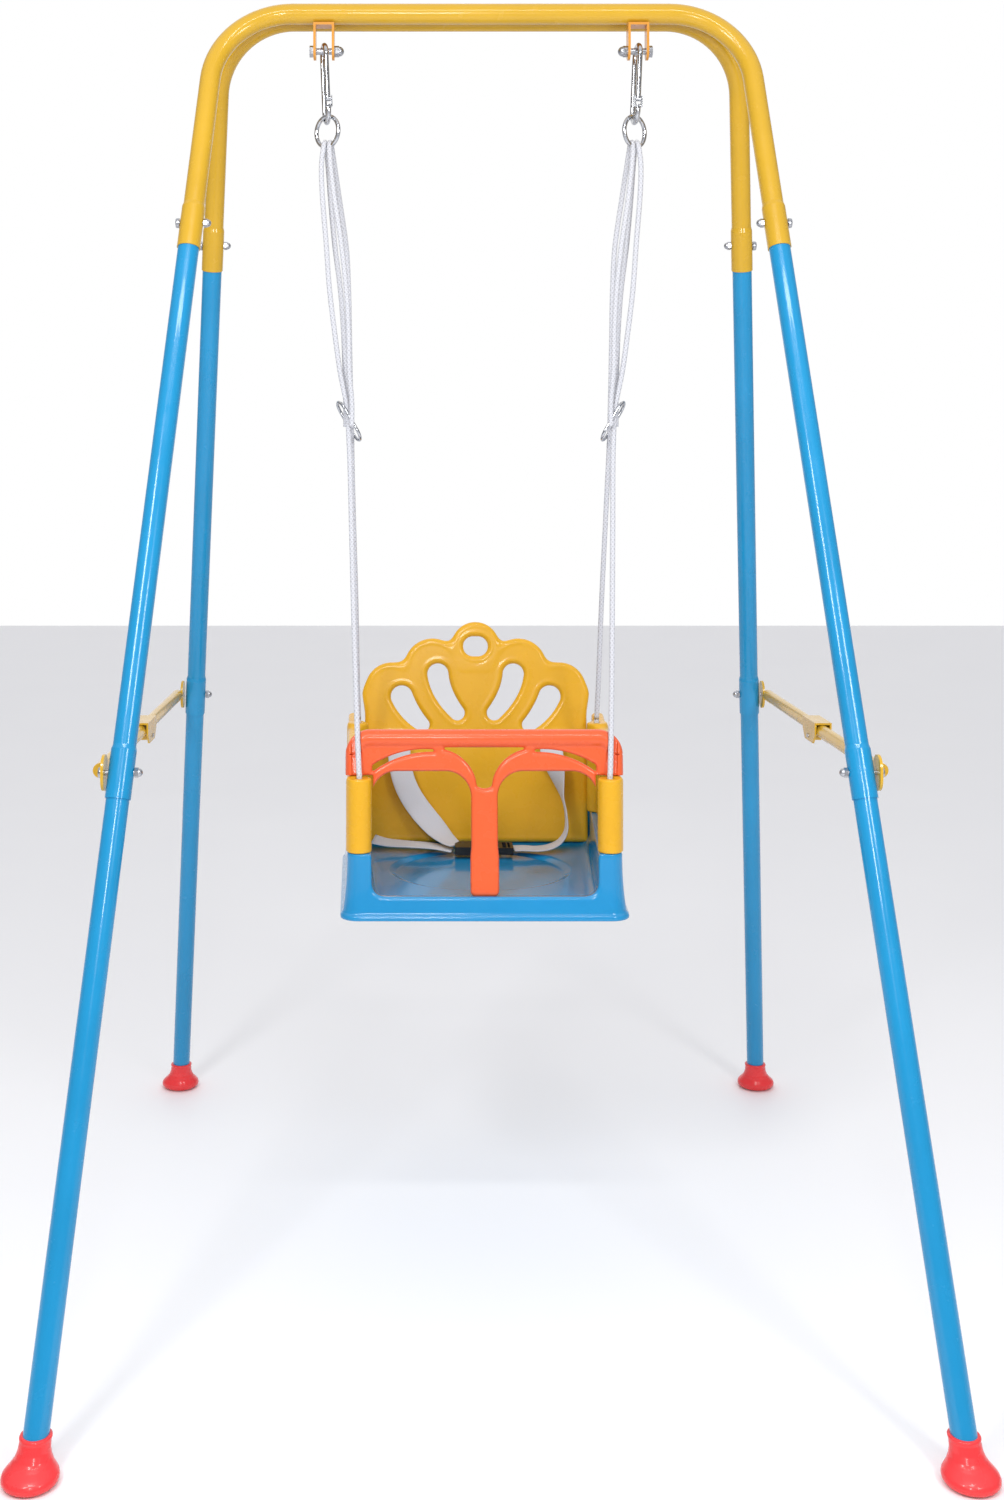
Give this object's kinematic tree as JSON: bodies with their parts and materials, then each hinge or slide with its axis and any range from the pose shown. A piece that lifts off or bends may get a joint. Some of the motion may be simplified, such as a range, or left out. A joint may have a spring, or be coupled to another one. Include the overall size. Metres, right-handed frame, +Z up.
{
  "type": "toddler swing set",
  "caption": "Folding A-frame swing with a hanging toddler bucket seat, backrest, lift-up guard bar and lap belt",
  "frame": {"origin": "on the floor, midway between the four feet", "axes": "+X to the swing's right side as seen from the front, +Y from the front to the rear, +Z up"},
  "size_m": [0.955, 1.0882, 1.5487],
  "materials": {
    "yellow_paint": "gloss powder coat",
    "blue_paint": "gloss powder coat",
    "bracket_paint": "gloss powder coat",
    "red_plastic": "gloss moulded",
    "yellow_plastic": "gloss moulded",
    "blue_plastic": "gloss moulded",
    "orange_plastic": "gloss moulded",
    "black_plastic": "fine texture",
    "zinc": "bright zinc plate",
    "chrome": "polished",
    "white_rope": "braided cord",
    "white_webbing": "woven webbing"
  },
  "bodies": {
    "front_frame": {"front_top_tube": "yellow_paint", "front_upper_leg_left": "blue_paint", "front_upper_leg_right": "blue_paint", "front_lower_leg_left": "blue_paint", "front_lower_leg_right": "blue_paint", "front_foot_left": "red_plastic", "front_foot_right": "red_plastic", "front_joint_bolts": "zinc", "front_brace_bolts": "zinc", "front_nuts": "zinc", "top_hinge_front": "yellow_paint", "top_hinge_pins": "zinc", "hanger_brackets": "bracket_paint", "hanger_bolts": "zinc", "hanger_nuts": "zinc"},
    "rear_frame": {"rear_top_tube": "yellow_paint", "rear_upper_leg_left": "blue_paint", "rear_upper_leg_right": "blue_paint", "rear_lower_leg_left": "blue_paint", "rear_lower_leg_right": "blue_paint", "rear_foot_left": "red_plastic", "rear_foot_right": "red_plastic", "rear_joint_bolts": "zinc", "rear_nuts": "zinc", "top_hinge_rear": "yellow_paint"},
    "left_brace_front_half": {"brace_front_left": "yellow_paint", "brace_bracket_left": "yellow_paint", "brace_pin_left": "zinc"},
    "left_brace_rear_half": {"brace_rear_left": "yellow_paint", "brace_stud_left": "zinc"},
    "right_brace_front_half": {"brace_front_right": "yellow_paint", "brace_bracket_right": "yellow_paint", "brace_pin_right": "zinc"},
    "right_brace_rear_half": {"brace_rear_right": "yellow_paint", "brace_stud_right": "zinc"},
    "swing": {"hook_left": "chrome", "hook_right": "chrome", "gate_pins": "zinc", "rings": "chrome", "rope_front_left": "white_rope", "rope_rear_left": "white_rope", "rope_front_right": "white_rope", "rope_rear_right": "white_rope", "rope_adjusters": "chrome", "rope_knots": "white_rope", "seat_base": "blue_plastic", "seat_back": "yellow_plastic", "seat_side_left": "yellow_plastic", "seat_side_right": "yellow_plastic", "belt_left": "white_webbing", "belt_right": "white_webbing", "buckle_socket": "black_plastic", "buckle_plug": "black_plastic"},
    "left_gate": {"gate_left": "chrome"},
    "right_gate": {"gate_right": "chrome"},
    "seat_guard": {"guard": "orange_plastic"},
    "front_buckle_button": {"buckle_button_front": "black_plastic"},
    "rear_buckle_button": {"buckle_button_rear": "black_plastic"}
  },
  "joints": [
    {"name": "frame_fold", "type": "hinge", "parent": "front_frame", "child": "rear_frame", "pos_m": [0, 0, 1.536], "axis": [1, 0, 0], "range_deg": [-34.5, 0]},
    {"name": "brace_fold_left", "type": "hinge", "parent": "front_frame", "child": "left_brace_front_half", "pos_m": [-0.424, -0.30934, 0.641], "axis": [1, 0, 0], "range_deg": [0, 69]},
    {"name": "brace_knee_left", "type": "hinge", "parent": "left_brace_front_half", "child": "left_brace_rear_half", "pos_m": [-0.424, 0, 0.6315], "axis": [1, 0, 0], "range_deg": [-172.5, 0]},
    {"name": "brace_fold_right", "type": "hinge", "parent": "front_frame", "child": "right_brace_front_half", "pos_m": [0.424, -0.30934, 0.641], "axis": [1, 0, 0], "range_deg": [0, 69]},
    {"name": "brace_knee_right", "type": "hinge", "parent": "right_brace_front_half", "child": "right_brace_rear_half", "pos_m": [0.424, 0, 0.6315], "axis": [1, 0, 0], "range_deg": [-172.5, 0]},
    {"name": "swing", "type": "hinge", "parent": "front_frame", "child": "swing", "pos_m": [0, -0.018, 1.489], "axis": [1, 0, 0], "range_deg": [-45, 45]},
    {"name": "gate_left", "type": "hinge", "parent": "swing", "child": "left_gate", "pos_m": [-0.19038, -0.03218, 1.42703], "axis": [0.9773, 0.2079, 0.041], "range_deg": [-20, 0], "stiffness_Nm_per_rad": 0.05, "springref_deg": 17.19},
    {"name": "gate_right", "type": "hinge", "parent": "swing", "child": "right_gate", "pos_m": [0.19491, -0.03242, 1.42684], "axis": [0.9936, 0.1045, -0.0416], "range_deg": [-20, 0], "stiffness_Nm_per_rad": 0.05, "springref_deg": 17.19},
    {"name": "guard_lift", "type": "slide", "parent": "swing", "child": "seat_guard", "axis": [0, 0.2711, 0.9626], "range_m": [0, 0.11]},
    {"name": "buckle_press_front", "type": "slide", "parent": "swing", "child": "front_buckle_button", "axis": [0, 1, 0], "range_m": [0, 0.0015], "stiffness_N_per_m": 400, "springref_m": -0.001},
    {"name": "buckle_press_rear", "type": "slide", "parent": "swing", "child": "rear_buckle_button", "axis": [0, -1, 0], "range_m": [0, 0.0015], "stiffness_N_per_m": 400, "springref_m": -0.001}
  ],
  "couplings": [
    {"joint": "brace_fold_left", "follows": "frame_fold", "ratio": -2},
    {"joint": "brace_knee_left", "follows": "frame_fold", "ratio": 5},
    {"joint": "brace_fold_right", "follows": "frame_fold", "ratio": -2},
    {"joint": "brace_knee_right", "follows": "frame_fold", "ratio": 5}
  ]
}
